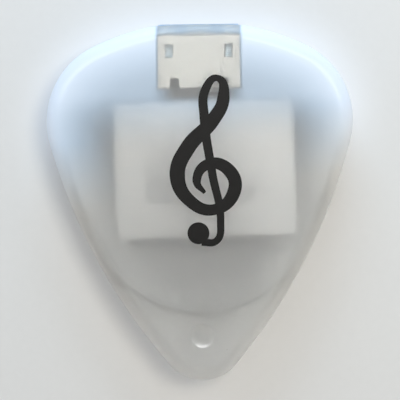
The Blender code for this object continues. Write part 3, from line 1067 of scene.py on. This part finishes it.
def pad_shade(start, place):
    """The shade of the stick-on pad through the white foam, strongest away from the window."""
    turn = (0.0, 0.0, math.radians(PAD["turn"]))
    on_pad = {"Vector": place, "Location": (*PAD["centre"], 0.0), "Rotation": turn}
    local = start.node("ShaderNodeMapping", {"vector_type": "TEXTURE"}, on_pad)
    dark = PAD_SHADE * slope(slanted(place, lean=0.25), low=0.0103, high=-0.0004)
    for name, size in zip("XY", PAD["size"]):
        distance = abs(axis(local, name))
        dark = dark * (1 - step(distance, low=size / 2 - SHADE_EDGE, high=size / 2))
    return dark


def foam(lit_tone, shaded_tone):
    """A maker of foam that is darker towards the lower left, a painted shade away from the lamp and the
    window, broken into patches, with the pad's shade over it.
    """

    def surface(start):
        place = object_place(start)
        cells = start.node("ShaderNodeTexVoronoi", inputs={"Vector": place, "Scale": 5200.0})
        patches = noise(place, scale=330.0, detail=4.0)
        # Painted shade: the foam darkens towards the lower left, away from the lamp and the window.
        shade_to_lower_left = slope(slanted(place, lean=0.5), low=0.015, high=-0.008)
        plain = mix(shade_to_lower_left + SHADE_PATCHES * (patches - 0.5), lit_tone, shaded_tone)
        look = {
            "Base Color": mix(pad_shade(start, place), plain, SHADE_GREY),
            "Roughness": 0.85 + 0.1 * patches,
            "Normal": bump(cells, strength=0.35, distance=0.00006),
        }
        return principled(start, look)

    return surface


def liner_paper(start):
    """Coated paper with short fibres."""
    place = object_place(start)
    fibres = noise(place, scale=2600.0, detail=5.0)
    look = {
        "Base Color": mix(fibres, colour(0.80, 0.79, 0.75), colour(0.88, 0.87, 0.83)),
        "Roughness": 0.45 + 0.2 * fibres,
        "Normal": bump(fibres, strength=0.1, distance=0.00003),
    }
    return principled(start, look)


white_foam = foam(colour(0.97, 0.955, 0.925), colour(0.57, 0.56, 0.535))
grey_foam = foam(colour(0.30, 0.30, 0.295), colour(0.25, 0.25, 0.245))


def finish_sheet(piece, node, look):
    """Gives a foam or paper piece its finish and its place on the base."""
    piece.data.materials.append(look)
    shade(piece)
    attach(piece, "base")
    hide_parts(node)


finish_sheet(insert, "pocket_foam", material("white_foam", white_foam))
finish_sheet(pad, "foam_pad", material("grey_foam", grey_foam))
finish_sheet(liner, "release_liner", material("liner_paper", liner_paper))

# %% [markdown]
# ## The print on the front
#
# A pad-printed emblem in black is what such a case carries, and this one has a plain treble clef. Ink is
# a thin layer with a hard edge. A stroke of changing width is a curve with a radius at each point, so
# Geometry Nodes sweep a bar along it, add the ball at its foot, join the two and press the result onto
# the crown with a ray from each point.

# %% Draw the clef as a curve
STAFF_SPACE = 0.0034
PRINT_CENTRE = Vector((0.0007, 0.0054))
CLEF_MIDDLE = Vector((1.30, 0.84))
# Each point is x, y and half the width of the stroke, and the ball is x, y and radius, in staff spaces.
CLEF_STROKE = [
    (1.26, -0.44, 0.07),
    (0.94, 0.04, 0.17),
    (1.42, 0.72, 0.22),
    (2.28, 0.42, 0.26),
    (2.44, -0.40, 0.27),
    (1.62, -1.12, 0.22),
    (0.62, -0.72, 0.25),
    (0.16, 0.30, 0.31),
    (0.62, 1.42, 0.31),
    (1.62, 2.48, 0.28),
    (2.06, 3.36, 0.25),
    (1.84, 4.18, 0.13),
    (1.34, 3.72, 0.18),
    (1.28, 2.60, 0.19),
    (1.56, 0.40, 0.17),
    (1.88, -1.62, 0.15),
    (1.70, -2.38, 0.14),
    (1.10, -2.42, 0.15),
]
CLEF_BALL = (0.98, -2.06, 0.44)
CLEF_RESOLUTION = 16


def on_face(x, y):
    """A place in staff spaces as a place on the case."""
    return PRINT_CENTRE + STAFF_SPACE * (Vector((x, y)) - CLEF_MIDDLE)


clef_curve = bpy.data.curves.new("clef", "CURVE")
clef_curve.dimensions = "3D"
spline = clef_curve.splines.new("BEZIER")
spline.resolution_u = CLEF_RESOLUTION
spline.bezier_points.add(len(CLEF_STROKE) - 1)
for point, (x, y, half_width) in zip(spline.bezier_points, CLEF_STROKE):
    point.co = (*on_face(x, y), 0.0)
    point.radius = half_width * STAFF_SPACE
    point.handle_left_type = point.handle_right_type = "AUTO"
clef_path = add("clef_path", clef_curve)
print("clef drawn through", len(CLEF_STROKE), "points")

# %% Geometry Nodes that lay ink on a face
INK_RISE = 0.00003
INK_STEP = 0.00022
BALL_SIDES = 56
RAY_HEIGHT = 1.0


def clef_shape(start, given):
    """A bar swept along the stroke, as wide as its radius says, and joined to the ball at its foot."""
    spacing = {"Curve": given["Stroke"], "Length": given["Step"]}
    path = start.node("GeometryNodeResampleCurve", {"mode": "LENGTH"}, spacing)
    path = start.node("GeometryNodeSetCurveNormal", {"mode": "Z_UP"}, {"Curve": path})
    bar = start.node("GeometryNodeCurvePrimitiveQuadrilateral", inputs={"Width": 2.0, "Height": 2.0})
    half_width = start.node("GeometryNodeInputRadius")
    swept = {"Curve": path, "Profile Curve": bar, "Scale": half_width, "Fill Caps": True}
    stroke = start.node("GeometryNodeCurveToMesh", inputs=swept)
    round_bar = {"Vertices": BALL_SIDES, "Radius": given["Ball radius"], "Depth": given["Ball radius"]}
    disc = start.node("GeometryNodeMeshCylinder", inputs=round_bar)
    shift = {"Geometry": disc, "Translation": given["Ball centre"]}
    ball = start.node("GeometryNodeTransform", inputs=shift)
    joined = start.tree.nodes.new("GeometryNodeMeshBoolean")
    joined.operation = "UNION"
    joined.solver = "EXACT"
    joined.inputs["Self Intersection"].default_value = True
    for shape in (ball, stroke):
        start.tree.links.new(shape.socket, joined.inputs["Mesh 2"])
    return Wire(start.tree, joined.outputs["Mesh"])


def pressed_on_face(start, given, shape):
    """Moves each point of a flat shape to the face below it, and its two sides a little off that."""
    place = start.node("GeometryNodeInputPosition")
    x, y, z = [axis(place, name) for name in "XYZ"]
    face = start.node("GeometryNodeObjectInfo", inputs={"Object": given["Face"]}, output="Geometry")
    ray = {
        "Target Geometry": face,
        "Source Position": start.node("ShaderNodeCombineXYZ", inputs={"X": x, "Y": y, "Z": RAY_HEIGHT}),
        "Ray Direction": (0.0, 0.0, -1.0),
        "Ray Length": 2 * RAY_HEIGHT,
    }
    ground = axis(start.node("GeometryNodeRaycast", inputs=ray, output="Hit Position"), "Z")
    side = start.node("ShaderNodeMath", {"operation": "SIGN"}, {0: z})
    level = ground + side * given["Rise"]
    lifted = start.node("ShaderNodeCombineXYZ", inputs={"X": x, "Y": y, "Z": level})
    return start.node("GeometryNodeSetPosition", inputs={"Geometry": shape, "Position": lifted})


def ink_tree():
    """A tree that turns a curve into a layer of ink on a face, and the identifiers of its named inputs."""
    kinds = {
        "Stroke": "NodeSocketGeometry",
        "Face": "NodeSocketObject",
        "Ink": "NodeSocketMaterial",
        "Step": "NodeSocketFloat",
        "Rise": "NodeSocketFloat",
        "Ball centre": "NodeSocketVector",
        "Ball radius": "NodeSocketFloat",
    }
    tree = bpy.data.node_groups.new("ink_on_face", "GeometryNodeTree")
    sockets = {}
    for name, kind in kinds.items():
        sockets[name] = tree.interface.new_socket(name, in_out="INPUT", socket_type=kind).identifier
    tree.interface.new_socket("Layer", in_out="OUTPUT", socket_type="NodeSocketGeometry")
    entry = tree.nodes.new("NodeGroupInput")
    given = {name: Wire(tree, entry.outputs[name]) for name in kinds}
    start = Wire(tree)
    pressed = pressed_on_face(start, given, clef_shape(start, given))
    whole = start.node("GeometryNodeRealizeInstances", inputs={"Geometry": pressed})
    inked = start.node("GeometryNodeSetMaterial", inputs={"Geometry": whole, "Material": given["Ink"]})
    start.node("NodeGroupOutput", inputs={"Layer": inked})
    print("ink tree has", len(tree.nodes), "nodes")
    return tree, sockets


# %% Ink the clef
def black_ink(start):
    """Black ink with the faint weave of its screen."""
    place = object_place(start)
    mottle = noise(place, scale=700.0, detail=4.0)
    screen = noise(place, scale=7000.0, detail=2.0)
    look = {
        "Base Color": mix(mottle, colour(0.008, 0.0075, 0.007), colour(0.014, 0.013, 0.012)),
        "Roughness": 0.42 + 0.16 * mottle,
        "Specular IOR Level": 0.12,
        "Normal": bump(screen, strength=0.12, distance=0.00002),
    }
    return principled(start, look)


tree, sockets = ink_tree()
modifier = clef_path.modifiers.new("ink", "NODES")
modifier.node_group = tree
clef_ball_x, clef_ball_y, clef_ball_radius = CLEF_BALL
ink_inputs = {
    "Face": front_case,
    "Ink": material("black_ink", black_ink),
    "Step": INK_STEP,
    "Rise": INK_RISE,
    "Ball centre": (*on_face(clef_ball_x, clef_ball_y), 0.0),
    "Ball radius": clef_ball_radius * STAFF_SPACE,
}
for name, value in ink_inputs.items():
    modifier[sockets[name]] = value
depsgraph = bpy.context.evaluated_depsgraph_get()
ink_mesh = bpy.data.meshes.new_from_object(clef_path.evaluated_get(depsgraph))
bpy.data.objects.remove(clef_path)
ink_layer = add("front_print", ink_mesh)
shade(ink_layer)
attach(ink_layer, "lid")
print("ink layer:", len(ink_mesh.polygons), "faces")
